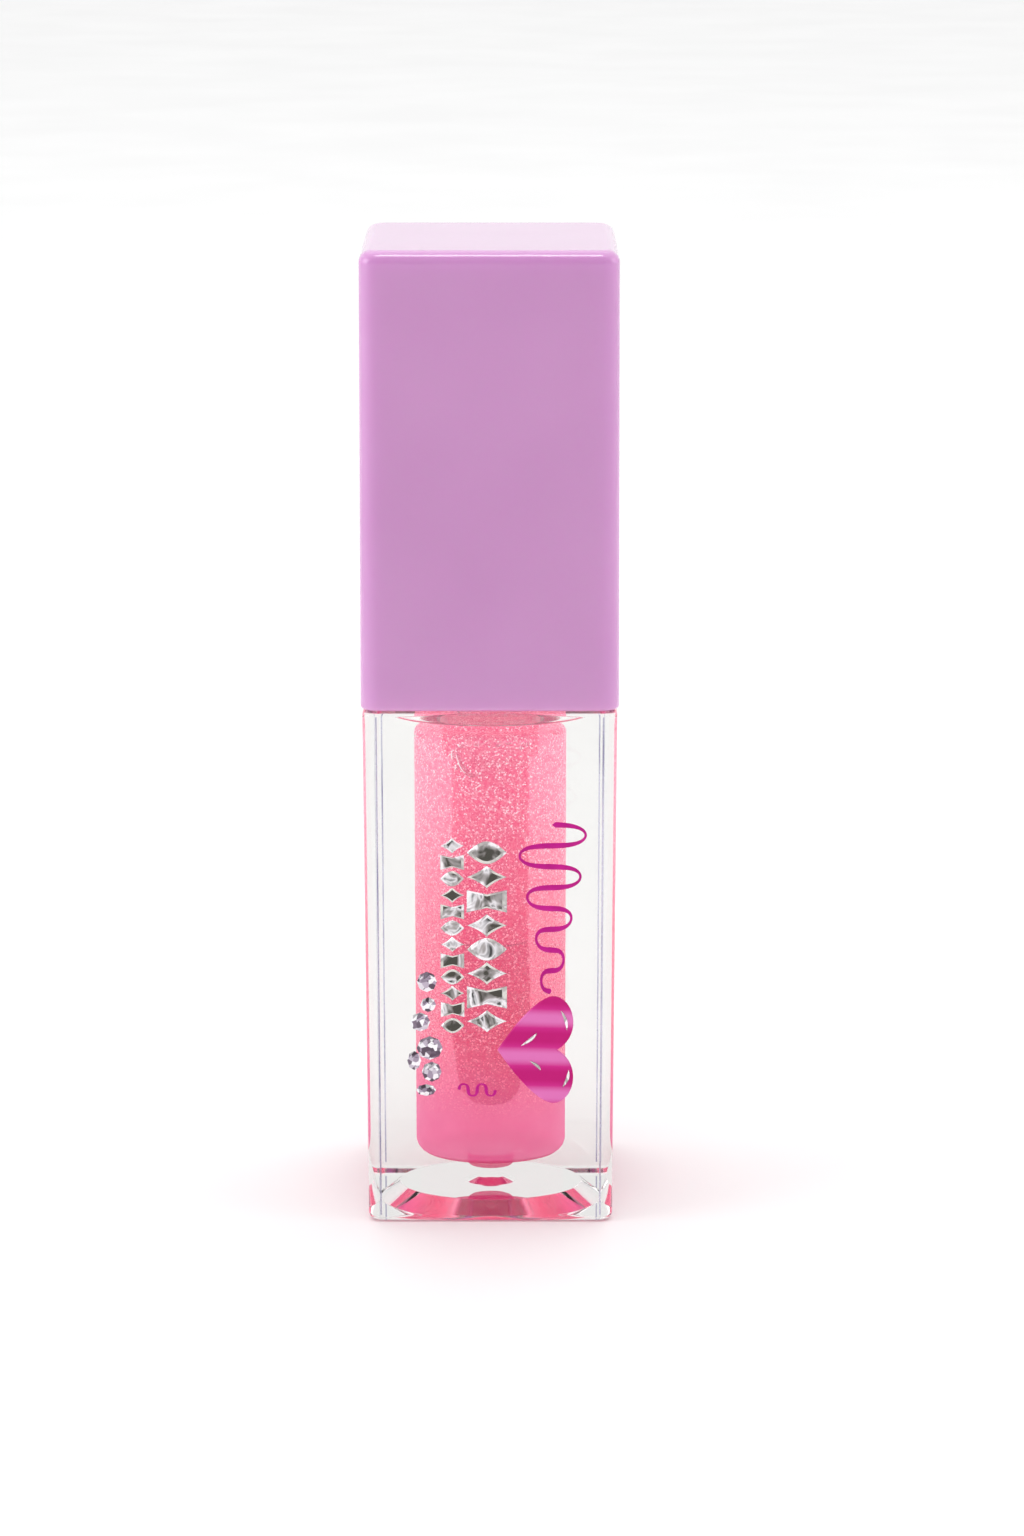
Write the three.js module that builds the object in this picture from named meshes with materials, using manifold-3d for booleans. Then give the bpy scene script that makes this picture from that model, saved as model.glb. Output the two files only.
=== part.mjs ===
// A square lip gloss tube: a thick clear bottle with a round bore, its wiper, the lip oil, and a
// screw cap that carries a wand with a slanted flocked tip.
// Millimetres, +Z up. The origin is the centre of the foot, and the printed front faces -Y.
import * as THREE from "three";
import { mergeVertices } from "three/addons/utils/BufferGeometryUtils.js";
import Module from "manifold-3d";

const wasm = await Module();
wasm.setup();

// Driving dimensions.
const BODY_HEIGHT = 42.4; // foot to the shoulder rim
const FOOT_WIDTH = 19.75; // the square body widens towards the shoulder by its moulding draft
const SHOULDER_WIDTH = 20.12;
const BODY_CORNER_R = 1.05;
const FOOT_EDGE_R = 0.6;
const RIM_EDGE_R = 0.25;

const BORE_R = 6.1; // the round chamber that holds the oil
const BORE_FLOOR_Z = 3.9;
const BORE_FLOOR_R = 1.3; // rounded edge of the chamber floor
const BORE_TOP_Z = 40.0;
const PIP_R = 1.9; // small moulding well in the middle of the chamber floor
const PIP_DEPTH = 1.2;

const RECESS_R = 7.45; // ceiling of the dished round recess under the foot
const RECESS_RIM_R = 9.15;
const RECESS_DEPTH = 1.36;
const GATE_R = 2.1; // shallow dimple in the recess, where the bottle was injected
const GATE_DEPTH = 0.45;

const WELL_R = 8.6; // round well in the shoulder, around the neck
const WELL_DEPTH = 1.3;
const NECK_R = 5.2;
const NECK_TOP_Z = 54.2;
const NECK_BORE_R = 4.05;

const THREAD_PITCH = 3.2;
const THREAD_TURNS = 1.5;
const THREAD_START_Z = 46.4;
const THREAD_CREST_R = 5.85;

const CAP_FOOT_Z = 42.6;
const CAP_HEIGHT = 36.1;
const CAP_FOOT_WIDTH = 20.4; // the cap is widest at its open end
const CAP_TOP_WIDTH = 20.08;
const CAP_CORNER_R = 1.35;
const CAP_TOP_EDGE_R = 1.0;
const CAP_WALL = 1.3;
const CAP_ROOF = 1.6;

const GAP = 0.1; // between neighbouring pieces
const FLANGE_THICKNESS = 0.8;
const GASKET_THICKNESS = 1.0;
const STEM_R = 3.1;
const TIP_R = 3.25;
const TIP_END_Z = 7.4;
const STEM_FOOT_Z = 22.0;
const ORIFICE_R = 3.5; // the wiper's lip, which the tip has to pass
const WIPER_END_Z = 37.6;
const OIL_TOP_Z = 39.4;

const ROUND_STEPS = 40;
const CORNER_STEPS = 4;
const EDGE_STEPS = 3;
const FLOOR_STEPS = 4;

const CAP_TOP_Z = CAP_FOOT_Z + CAP_HEIGHT;
const WELL_FLOOR_Z = BODY_HEIGHT - WELL_DEPTH;
const FLANGE_Z = NECK_TOP_Z + GAP / 2;
const GASKET_Z = FLANGE_Z + FLANGE_THICKNESS + GAP / 2;
const INSERT_CEILING_Z = GASKET_Z + GASKET_THICKNESS + GAP;

// A closed solid from any three.js geometry, by its positions alone.
function solidOf(geometry) {
  const bare = new THREE.BufferGeometry();
  bare.setAttribute("position", geometry.getAttribute("position"));
  bare.setIndex(geometry.index);
  const merged = mergeVertices(bare, 1e-4);
  const corners = [];
  for (let i = 0; i < merged.index.count; i += 3) {
    const [a, b, c] = [0, 1, 2].map((k) => merged.index.getX(i + k));
    if (a !== b && b !== c && c !== a) corners.push(a, b, c);
  }
  return new wasm.Manifold(
    new wasm.Mesh({
      numProp: 3,
      vertProperties: new Float32Array(merged.getAttribute("position").array),
      triVerts: new Uint32Array(corners),
    }),
  );
}

function geometryOf(solid) {
  const data = solid.getMesh();
  const indexed = new THREE.BufferGeometry();
  indexed.setAttribute("position", new THREE.BufferAttribute(data.vertProperties, 3));
  indexed.setIndex(new THREE.BufferAttribute(data.triVerts, 1));
  const flat = indexed.toNonIndexed();
  flat.computeVertexNormals();
  return flat;
}

// A skin over rings that hold the same number of points, closed by a fan at each end.
// Each ring runs anticlockwise as seen from the last one.
function skin(rings) {
  const count = rings[0].length;
  const points = rings.flat();
  const faces = [];
  for (let r = 0; r + 1 < rings.length; r++) {
    for (let i = 0; i < count; i++) {
      const j = (i + 1) % count;
      const low = r * count;
      const high = low + count;
      faces.push(low + i, low + j, high + j, low + i, high + j, high + i);
    }
  }
  const last = (rings.length - 1) * count;
  for (const [start, from, to] of [[0, 1, 0], [last, 0, 1]]) {
    const middle = new THREE.Vector3();
    points.slice(start, start + count).forEach((p) => middle.addScaledVector(p, 1 / count));
    points.push(middle);
    for (let i = 0; i < count; i++) {
      const pair = [start + i, start + ((i + 1) % count)];
      faces.push(points.length - 1, pair[from], pair[to]);
    }
  }
  const geometry = new THREE.BufferGeometry().setFromPoints(points);
  geometry.setIndex(faces);
  return solidOf(geometry);
}

// A solid of revolution about Z from [radius, height] pairs.
function turned(profile) {
  const points = profile.map(([r, z]) => new THREE.Vector2(r, z));
  const solid = solidOf(new THREE.LatheGeometry(points, ROUND_STEPS).rotateX(Math.PI / 2));
  return solid.volume() > 0 ? solid : turned([...profile].reverse());
}

function disc(radius, low, high) {
  return turned([[0, low], [radius, low], [radius, high], [0, high]]);
}

function block(width, depth, low, high, x = 0, y = 0) {
  const box = new THREE.BoxGeometry(width, depth, high - low);
  return solidOf(box.translate(x, y, (low + high) / 2));
}

// One level of a square section with round corners.
function squareRing(width, cornerR, z) {
  const ring = [];
  const reach = width / 2 - cornerR;
  for (let corner = 0; corner < 4; corner++) {
    const middle = ((corner + 0.5) * Math.PI) / 2;
    const x = Math.sign(Math.cos(middle)) * reach;
    const y = Math.sign(Math.sin(middle)) * reach;
    for (let i = 0; i <= CORNER_STEPS; i++) {
      const a = ((corner + i / CORNER_STEPS) * Math.PI) / 2;
      ring.push(new THREE.Vector3(x + cornerR * Math.cos(a), y + cornerR * Math.sin(a), z));
    }
  }
  return ring;
}

// A drafted square block whose foot and top edges are rounded.
function squareBlock({ low, high, lowWidth, highWidth, cornerR, lowEdgeR, highEdgeR }) {
  const widthAt = (z) => lowWidth + ((highWidth - lowWidth) * (z - low)) / (high - low);
  const levels = [];
  for (let i = 0; i <= EDGE_STEPS; i++) {
    const a = (i / EDGE_STEPS) * (Math.PI / 2);
    const rise = 1 - Math.cos(a);
    const inset = 1 - Math.sin(a);
    levels.push([low + lowEdgeR * rise, lowEdgeR * inset]);
    levels.push([high - highEdgeR * rise, highEdgeR * inset]);
  }
  levels.sort((p, q) => p[0] - q[0]);
  return skin(
    levels.map(([z, inset]) => squareRing(widthAt(z) - 2 * inset, cornerR - inset * 0.5, z)),
  );
}

// A screw thread as one closed ridge, its crest fading out at both ends.
function threadRidge({ rootR, crestR, startZ, pitch, turns, rootHeight, crestHeight }) {
  const steps = Math.round(turns * 24);
  const rings = [];
  for (let i = 0; i <= steps; i++) {
    const share = i / steps;
    const angle = share * turns * 2 * Math.PI;
    const z = startZ + share * turns * pitch;
    const fade = Math.min(1, share * 8, (1 - share) * 8);
    const crest = rootR + 0.02 + (crestR - rootR - 0.02) * fade;
    const at = (r, dz) => new THREE.Vector3(r * Math.cos(angle), r * Math.sin(angle), z + dz);
    rings.push([
      at(rootR - 0.4, rootHeight / 2),
      at(crest, crestHeight / 2),
      at(crest, -crestHeight / 2),
      at(rootR - 0.4, -rootHeight / 2),
    ]);
  }
  return skin(rings);
}

// The chamber's wall and floor from the axis to a height, drawn in by a gap.
function chamberProfile(gap, top) {
  const floor = BORE_FLOOR_Z + gap;
  const points = [
    [0, floor - PIP_DEPTH],
    [PIP_R * 0.7 - gap, floor - PIP_DEPTH],
    [PIP_R - gap, floor - PIP_DEPTH * 0.6],
    [PIP_R - gap, floor],
  ];
  for (let i = 0; i <= FLOOR_STEPS; i++) {
    const a = (i / FLOOR_STEPS) * (Math.PI / 2);
    const r = BORE_FLOOR_R - gap;
    points.push([BORE_R - gap - r * (1 - Math.sin(a)), floor + r * (1 - Math.cos(a))]);
  }
  return [...points, [BORE_R - gap, top]];
}

function makeBottle() {
  const body = squareBlock({
    low: 0,
    high: BODY_HEIGHT,
    lowWidth: FOOT_WIDTH,
    highWidth: SHOULDER_WIDTH,
    cornerR: BODY_CORNER_R,
    lowEdgeR: FOOT_EDGE_R,
    highEdgeR: RIM_EDGE_R,
  });
  const neck = disc(NECK_R, WELL_FLOOR_Z - 0.5, NECK_TOP_Z);
  const thread = threadRidge({
    rootR: NECK_R,
    crestR: THREAD_CREST_R,
    startZ: THREAD_START_Z,
    pitch: THREAD_PITCH,
    turns: THREAD_TURNS,
    rootHeight: 1.5,
    crestHeight: 0.6,
  });
  const bore = turned([
    ...chamberProfile(0, BORE_TOP_Z - 0.6),
    [BORE_R - 0.6, BORE_TOP_Z],
    [NECK_BORE_R, BORE_TOP_Z],
    [NECK_BORE_R, NECK_TOP_Z + 1],
    [0, NECK_TOP_Z + 1],
  ]);
  const recess = turned([
    [0, -1],
    [RECESS_RIM_R, -1],
    [RECESS_RIM_R, 0],
    [RECESS_R, RECESS_DEPTH],
    [GATE_R, RECESS_DEPTH],
    [GATE_R * 0.6, RECESS_DEPTH + GATE_DEPTH * 0.75],
    [0, RECESS_DEPTH + GATE_DEPTH],
  ]);
  const well = disc(WELL_R, WELL_FLOOR_Z, BODY_HEIGHT + 1);
  return body.subtract(well).add(neck).add(thread).subtract(bore).subtract(recess);
}

// A soft plug in the neck: a flange on top, a thin tube, and a lip that cleans the wand.
function makeWiper() {
  const plugR = NECK_BORE_R - GAP;
  const tubeR = ORIFICE_R + 0.37;
  const bendZ = BORE_TOP_Z + 1.8;
  return turned([
    [plugR - 0.35, FLANGE_Z + FLANGE_THICKNESS],
    [NECK_R - 0.15, FLANGE_Z + FLANGE_THICKNESS],
    [NECK_R - 0.15, FLANGE_Z],
    [plugR, FLANGE_Z],
    [plugR, bendZ],
    [tubeR, bendZ - 1.6],
    [tubeR, WIPER_END_Z + 0.5],
    [tubeR - 0.15, WIPER_END_Z],
    [ORIFICE_R, WIPER_END_Z],
    [ORIFICE_R, WIPER_END_Z + 0.6],
    [tubeR - 0.32, WIPER_END_Z + 1.2],
    [tubeR - 0.32, bendZ - 1.4],
    [plugR - 0.5, bendZ + 0.4],
    [plugR - 0.5, FLANGE_Z - 0.4],
    [plugR - 0.35, FLANGE_Z + FLANGE_THICKNESS],
  ]);
}

// The oil fills the chamber around the wiper's tube and the path of the wand.
function makeOil() {
  const fill = turned([...chamberProfile(GAP, OIL_TOP_Z), [0, OIL_TOP_Z]]);
  const wandPath = disc(ORIFICE_R + 0.05, TIP_END_Z - 0.4, OIL_TOP_Z + 1);
  const wiperPath = disc(ORIFICE_R + 0.52, WIPER_END_Z - 0.2, OIL_TOP_Z + 1);
  return fill.subtract(wandPath).subtract(wiperPath);
}

function makeGasket() {
  return disc(NECK_R - 0.3, GASKET_Z, GASKET_Z + GASKET_THICKNESS).subtract(
    disc(STEM_R + 0.12, GASKET_Z - 1, GASKET_Z + GASKET_THICKNESS + 1),
  );
}

const SOCKET_TOP_Z = INSERT_CEILING_Z + 7.6;
const PLUG_R = 1.3; // the tip's plug, in the open foot of the stem
const PLUG_LENGTH = 5.0;

function makeStem() {
  const top = SOCKET_TOP_Z - GAP;
  return turned([
    [0, STEM_FOOT_Z + PLUG_LENGTH + 0.3],
    [PLUG_R + GAP, STEM_FOOT_Z + PLUG_LENGTH + 0.3],
    [PLUG_R + GAP, STEM_FOOT_Z],
    [STEM_R - 0.15, STEM_FOOT_Z],
    [STEM_R, STEM_FOOT_Z + 0.3],
    [STEM_R, top - 3.2],
    [STEM_R + 0.14, top - 2.9],
    [STEM_R + 0.14, top - 2.3],
    [STEM_R, top - 2.0],
    [STEM_R, top - 0.5],
    [STEM_R - 0.5, top],
    [0, top],
  ]);
}

// The slanted flocked tip: oval sections whose middles lean back as the front is cut away.
function makeTip() {
  const shoulderZ = STEM_FOOT_Z - GAP;
  const length = shoulderZ - TIP_END_Z;
  const sections = [
    [0.0, 0.25, 0.12, 0.55],
    [0.03, 0.49, 0.26, 0.47],
    [0.09, 0.7, 0.4, 0.36],
    [0.2, 0.85, 0.56, 0.24],
    [0.36, 0.94, 0.73, 0.12],
    [0.55, 1.0, 0.9, 0.04],
    [0.75, 1.0, 0.97, 0.0],
    [0.92, 0.97, 0.97, 0.0],
    [1.0, 0.94, 0.94, 0.0],
  ];
  const pad = skin(
    sections.map(([share, ...reach]) => {
      const [wide, deep, back] = reach.map((part) => part * TIP_R);
      const ring = [];
      for (let i = 0; i < 28; i++) {
        const a = (i / 28) * 2 * Math.PI;
        const z = TIP_END_Z + share * length;
        ring.push(new THREE.Vector3(wide * Math.cos(a), back + deep * Math.sin(a), z));
      }
      return ring;
    }),
  );
  return pad.add(disc(PLUG_R, shoulderZ - 0.5, shoulderZ + PLUG_LENGTH));
}

// The threaded inner part of the cap: a skirt over the neck, a socket for the stem,
// and a flange and four fins that hold it square in the shell.
function makeInsert() {
  const footZ = CAP_FOOT_Z + 0.5;
  const boreR = THREAD_CREST_R + GAP;
  const skirtR = boreR + 1.5;
  const roofZ = INSERT_CEILING_Z + 1.5;
  const socketR = STEM_R + 1.5;
  const inside = CAP_FOOT_WIDTH - 2 * (CAP_WALL + GAP);
  const outer = turned([
    [0, footZ],
    [skirtR, footZ],
    [skirtR, roofZ],
    [socketR, roofZ + 0.6],
    [socketR, SOCKET_TOP_Z + 1.2],
    [0, SOCKET_TOP_Z + 1.2],
  ]);
  const finTop = SOCKET_TOP_Z - 1.5;
  const flange = squareBlock({
    low: footZ,
    high: footZ + 1.4,
    lowWidth: inside,
    highWidth: inside,
    cornerR: 0.6,
    lowEdgeR: 0.2,
    highEdgeR: 0.2,
  });
  let solid = outer.add(flange);
  for (const [width, depth] of [[inside - 0.3, 1.2], [1.2, inside - 0.3]]) {
    solid = solid.add(block(width, depth, footZ + 0.7, finTop));
  }
  const bore = disc(boreR, footZ - 1, INSERT_CEILING_Z);
  const socket = turned([
    [0, INSERT_CEILING_Z - 1],
    [STEM_R + GAP, INSERT_CEILING_Z - 1],
    [STEM_R + GAP, SOCKET_TOP_Z - 3.5],
    [STEM_R + 0.26, SOCKET_TOP_Z - 3.2],
    [STEM_R + 0.26, SOCKET_TOP_Z - 2.2],
    [STEM_R + GAP, SOCKET_TOP_Z - 1.9],
    [STEM_R + GAP, SOCKET_TOP_Z],
    [0, SOCKET_TOP_Z],
  ]);
  const groove = threadRidge({
    rootR: boreR,
    crestR: boreR + 0.62,
    startZ: THREAD_START_Z - 0.9,
    pitch: THREAD_PITCH,
    turns: THREAD_TURNS + 0.6,
    rootHeight: 1.9,
    crestHeight: 0.9,
  });
  return solid.subtract(bore).subtract(socket).subtract(groove);
}

function makeShell() {
  const outside = squareBlock({
    low: CAP_FOOT_Z,
    high: CAP_TOP_Z,
    lowWidth: CAP_FOOT_WIDTH,
    highWidth: CAP_TOP_WIDTH,
    cornerR: CAP_CORNER_R,
    lowEdgeR: 0.25,
    highEdgeR: CAP_TOP_EDGE_R,
  });
  const hollow = squareBlock({
    low: CAP_FOOT_Z - 1,
    high: CAP_TOP_Z - CAP_ROOF,
    lowWidth: CAP_FOOT_WIDTH - 2 * CAP_WALL,
    highWidth: CAP_TOP_WIDTH - 2 * CAP_WALL,
    cornerR: 0.5,
    lowEdgeR: 0.1,
    highEdgeR: 0.4,
  });
  return outside.subtract(hollow);
}

const PRINT_THICKNESS = 0.06;
const PRINT_STANDOFF = 0.04;
const GEM_RELIEF = 0.17;
const STROKE_WIDTH = 0.3;

// A flat plate of foil or ink that faces -Y.
function plate(width, height) {
  return solidOf(new THREE.BoxGeometry(width, PRINT_THICKNESS, height));
}

// A brush stroke as a flat ribbon along a path of [x, z] points.
function stroke(pathAt, steps) {
  const half = PRINT_THICKNESS / 2;
  const rings = [];
  for (let i = 0; i <= steps; i++) {
    const [x, z] = pathAt(i / steps);
    const [ahead, behind] = [pathAt((i + 0.1) / steps), pathAt((i - 0.1) / steps)];
    const along = new THREE.Vector2(ahead[0] - behind[0], ahead[1] - behind[1]).normalize();
    const side = along.multiplyScalar(STROKE_WIDTH / 2);
    const corner = (s, y) => new THREE.Vector3(x - s * side.y, y, z + s * side.x);
    rings.push([corner(1, -half), corner(-1, -half), corner(-1, half), corner(1, half)]);
  }
  return skin(rings);
}

// A wave from [x, z] down or along the face, with round bends instead of sharp peaks.
function wave(phase, swing, bend) {
  return [swing * Math.sin(phase), bend * Math.sin(2 * phase)];
}

// A wide swash at the top that settles into smaller swings on its way down.
function flourishAt(t) {
  const [across, along] = wave(t * 8 * Math.PI, 1.75 + 0.95 * Math.cos(Math.PI * t), 0.25);
  return [4.9 + across, 33.4 - 13.8 * t + along];
}

function rippleAt(t) {
  const [across, along] = wave(t * 4 * Math.PI, 0.5, 0.1);
  return [-2.5 + 2.9 * t - along, 11.3 + across];
}

// A heart lying on its side, its point towards -X.
function makeHeart(width, height) {
  const w = width / 2;
  const h = height / 2;
  const outline = new THREE.Shape();
  outline.moveTo(-w, 0);
  outline.bezierCurveTo(-w * 0.5, -h * 0.55, w * 0.1, -h, w * 0.45, -h);
  outline.bezierCurveTo(w * 0.95, -h, w * 1.25, -h * 0.3, w * 0.55, 0);
  outline.bezierCurveTo(w * 1.25, h * 0.3, w * 0.95, h, w * 0.45, h);
  outline.bezierCurveTo(w * 0.1, h, -w * 0.5, h * 0.55, -w, 0);
  const settings = { depth: PRINT_THICKNESS, bevelEnabled: false, curveSegments: 8 };
  const heart = new THREE.ExtrudeGeometry(outline, settings);
  return solidOf(heart.rotateX(Math.PI / 2).translate(0, PRINT_THICKNESS / 2, 0));
}

// A stick-on stone: an eight-sided low cone whose flat table faces -Y.
function makeGem(width, height) {
  const stone = new THREE.CylinderGeometry(0.28, 0.5, GEM_RELIEF, 8);
  return solidOf(stone.rotateX(Math.PI).scale(width, 1, height));
}

const finish = {
  clear: new THREE.MeshStandardMaterial({
    color: 0xf4f6f4,
    roughness: 0.03,
    transparent: true,
    opacity: 0.3,
  }),
  lilac: new THREE.MeshStandardMaterial({ color: 0xc78bc1, roughness: 0.28 }),
  milky: new THREE.MeshStandardMaterial({ color: 0xf1ebee, roughness: 0.45 }),
  oil: new THREE.MeshStandardMaterial({ color: 0xe0567f, roughness: 0.15 }),
  foam: new THREE.MeshStandardMaterial({ color: 0xf5f2ee, roughness: 0.8 }),
  flock: new THREE.MeshStandardMaterial({ color: 0xf0b9cc, roughness: 0.95 }),
  foil: new THREE.MeshStandardMaterial({ color: 0xd9dadb, roughness: 0.2, metalness: 1 }),
  gem: new THREE.MeshStandardMaterial({ color: 0xd8ccd8, roughness: 0.05, metalness: 0.6 }),
  ink: new THREE.MeshStandardMaterial({ color: 0xb0107a, roughness: 0.35 }),
};

function named(name, solid, material) {
  const mesh = new THREE.Mesh(geometryOf(solid), material);
  mesh.name = name;
  return mesh;
}

// The artwork on the front face. Each entry is a name, a solid, a material and its place on the
// face; the group leans with the draft of the wall.
function printGroup() {
  const slope = (SHOULDER_WIDTH - FOOT_WIDTH) / 2 / BODY_HEIGHT;
  const group = new THREE.Group();
  group.position.y = -FOOT_WIDTH / 2;
  group.rotation.x = Math.atan(slope);
  const prints = [
    ["foil_band_wide", plate(3.2, 16.0), finish.foil, -0.25, 24.1],
    ["foil_band_narrow", plate(1.9, 16.3), finish.foil, -3.0, 24.2],
    ["flourish_print", stroke(flourishAt, 72), finish.ink, 0, 0],
    ["ripple_print", stroke(rippleAt, 48), finish.ink, 0, 0],
    ["heart_print", makeHeart(6.2, 9.0), finish.ink, 3.75, 14.7],
  ];
  const gems = [
    [1.6, 1.7, -5.05, 20.4],
    [1.25, 1.25, -4.95, 18.5],
    [1.6, 1.6, -5.6, 17.05],
    [2.1, 2.0, -4.85, 14.85],
    [1.1, 1.6, -6.1, 13.8],
    [1.6, 1.7, -4.7, 12.85],
    [1.6, 1.0, -5.15, 11.3],
  ];
  const add = (name, solid, material, x, thickness, z) => {
    const mesh = named(name, solid, material);
    mesh.position.set(x, -PRINT_STANDOFF - thickness / 2, z);
    group.add(mesh);
  };
  for (const [name, solid, material, x, z] of prints) {
    add(name, solid, material, x, PRINT_THICKNESS, z);
  }
  gems.forEach(([width, height, x, z], i) => {
    add(`gem_${i + 1}`, makeGem(width, height), finish.gem, x, GEM_RELIEF, z);
  });
  return group;
}

const tube = new THREE.Group();
tube.add(
  named("bottle", makeBottle(), finish.clear),
  named("wiper", makeWiper(), finish.milky),
  named("lip_oil", makeOil(), finish.oil),
  named("gasket", makeGasket(), finish.foam),
  named("wand_stem", makeStem(), finish.lilac),
  named("applicator_tip", makeTip(), finish.flock),
  named("cap_insert", makeInsert(), finish.milky),
  named("cap_shell", makeShell(), finish.lilac),
  printGroup(),
);

export default tube;
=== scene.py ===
import math
import random

import bmesh
import bpy
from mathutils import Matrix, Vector


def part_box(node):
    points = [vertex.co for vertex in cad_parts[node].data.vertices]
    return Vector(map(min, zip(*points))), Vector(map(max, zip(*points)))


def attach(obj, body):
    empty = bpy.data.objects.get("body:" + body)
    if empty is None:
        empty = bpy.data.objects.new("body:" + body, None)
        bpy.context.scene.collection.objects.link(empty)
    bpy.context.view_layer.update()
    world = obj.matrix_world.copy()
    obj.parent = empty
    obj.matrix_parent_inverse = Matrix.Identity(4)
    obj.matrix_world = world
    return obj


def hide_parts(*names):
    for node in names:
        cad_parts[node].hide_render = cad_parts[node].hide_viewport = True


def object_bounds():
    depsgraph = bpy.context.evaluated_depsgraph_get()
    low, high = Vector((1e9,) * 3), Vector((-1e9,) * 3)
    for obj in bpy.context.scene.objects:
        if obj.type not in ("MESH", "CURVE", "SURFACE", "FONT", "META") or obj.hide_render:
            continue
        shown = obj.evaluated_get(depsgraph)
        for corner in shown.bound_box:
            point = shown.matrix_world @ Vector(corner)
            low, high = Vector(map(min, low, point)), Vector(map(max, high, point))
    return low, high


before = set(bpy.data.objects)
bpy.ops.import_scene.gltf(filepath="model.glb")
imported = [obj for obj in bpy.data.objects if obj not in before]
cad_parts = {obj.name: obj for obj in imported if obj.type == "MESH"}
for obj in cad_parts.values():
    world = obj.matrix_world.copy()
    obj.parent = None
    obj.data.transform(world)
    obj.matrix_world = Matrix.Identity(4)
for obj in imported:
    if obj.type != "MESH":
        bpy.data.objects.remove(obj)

CAD_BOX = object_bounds()
MM = 0.001

# ---------------------------------------------------------------- sizes, in millimetres


def box_mm(node):
    low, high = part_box(node)
    return low / MM, high / MM


CAP_FOOT_Z = box_mm("cap_shell")[0].z
CAP_TOP_Z = box_mm("cap_shell")[1].z
CAP_FOOT_HALF = box_mm("cap_shell")[1].x
CAP_TOP_HALF = CAP_FOOT_HALF - 0.16      # the mould's draft
CAP_CORNER_R = 1.35
CAP_TOP_EDGE_R = 1.0
CAP_WALL = 1.3
CAP_ROOF = 1.6

SHOULDER_HALF = box_mm("bottle")[1].x
FOOT_HALF = SHOULDER_HALF - 0.185        # the mould's draft
NECK_TOP_Z = box_mm("bottle")[1].z
BODY_HEIGHT = CAP_FOOT_Z - 0.2
BODY_CORNER_R = 1.05
FOOT_EDGE_R = 0.6
RIM_EDGE_R = 0.25
BORE_R = 6.1
BORE_FLOOR_Z = 3.9
BORE_FLOOR_R = 1.3
BORE_TOP_Z = 40.0
PIP_R = 1.9
PIP_DEPTH = 1.2
RECESS_R = 7.45
RECESS_RIM_R = 9.15
RECESS_DEPTH = 1.36
GATE_R = 2.1
GATE_DEPTH = 0.45
WELL_R = 8.6
WELL_FLOOR_Z = BODY_HEIGHT - 1.3
NECK_R = 5.2
NECK_BORE_R = 4.05
THREAD_PITCH = 3.2
THREAD_TURNS = 1.5
THREAD_START_Z = 46.4
THREAD_CREST_R = 5.85
THREAD_ROOT_HALF = 0.75     # half the thread's width where it meets the neck
THREAD_CREST_HALF = 0.3     # and along its crest
WETTED_TO_Z = 45.0          # the oil creeps up around the wiper in the neck
GLITTER_FROM_Z = 9.0        # no glitter hangs in the oil below this
STEM_R = 3.1
STEM_SOCKET_R = 1.4         # the tip's plug goes up into this
ORIFICE_R = 3.5
STEM_FOOT_Z = box_mm("wand_stem")[0].z
STEM_TOP_Z = box_mm("wand_stem")[1].z
TIP_R = box_mm("applicator_tip")[1].x
TIP_END_Z = box_mm("applicator_tip")[0].z

# ---------------------------------------------------------------- mesh helpers

ARC_STEPS = 10      # along one rounded corner of a square section
FLAT_STEPS = 30     # along one flat side
SUPPORT = 0.007     # share of a flat's length between its end and its first point
SHARP = math.radians(38)


def square_ring(half, corner, z):
    """One level of a square with round corners."""
    reach = half - corner
    quarter = []
    for i in range(ARC_STEPS + 1):
        a = i / ARC_STEPS * math.pi / 2
        quarter.append((reach + corner * math.cos(a), reach + corner * math.sin(a)))
    shares = [SUPPORT] + [k / FLAT_STEPS for k in range(1, FLAT_STEPS)] + [1 - SUPPORT]
    quarter += [(reach * (1 - 2 * s), half) for s in shares]
    ring = []
    for turn in range(4):
        c, s = round(math.cos(turn * math.pi / 2)), round(math.sin(turn * math.pi / 2))
        ring += [Vector((x * c - y * s, x * s + y * c, z)) for x, y in quarter]
    return ring


RAY_ANGLES = [math.atan2(p.y, p.x) for p in square_ring(1, 0.12, 0)]


def round_ring(radius, z, angles=RAY_ANGLES):
    """One level of a turned shape; on the axis it is a single point."""
    if radius < 1e-6:
        return [Vector((0, 0, z))]
    return [Vector((radius * math.cos(a), radius * math.sin(a), z)) for a in angles]


def rounded(corners, steps=6, support=0.02):
    """A profile with rounded corners. A corner is (reach, z) or (reach, z, radius)."""
    out = [Vector(corners[0][:2])]
    for before, at, after in zip(corners, corners[1:], corners[2:]):
        point = Vector(at[:2])
        radius = at[2] if len(at) > 2 else 0
        if not radius:
            out.append(point)
            continue
        back = (Vector(before[:2]) - point).normalized()
        on = (Vector(after[:2]) - point).normalized()
        half_turn = back.angle(on) / 2
        cut = radius / math.tan(half_turn)
        centre = point + (back + on).normalized() * (radius / math.sin(half_turn))
        start, end = point + back * cut - centre, point + on * cut - centre
        out.append(centre + start + back * support)
        for i in range(steps + 1):
            out.append(centre + start.lerp(end, i / steps).normalized() * radius)
        out.append(centre + end + on * support)
    out.append(Vector(corners[-1][:2]))
    return out


def even_angles(count):
    return [i / count * 2 * math.pi for i in range(count)]


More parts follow.
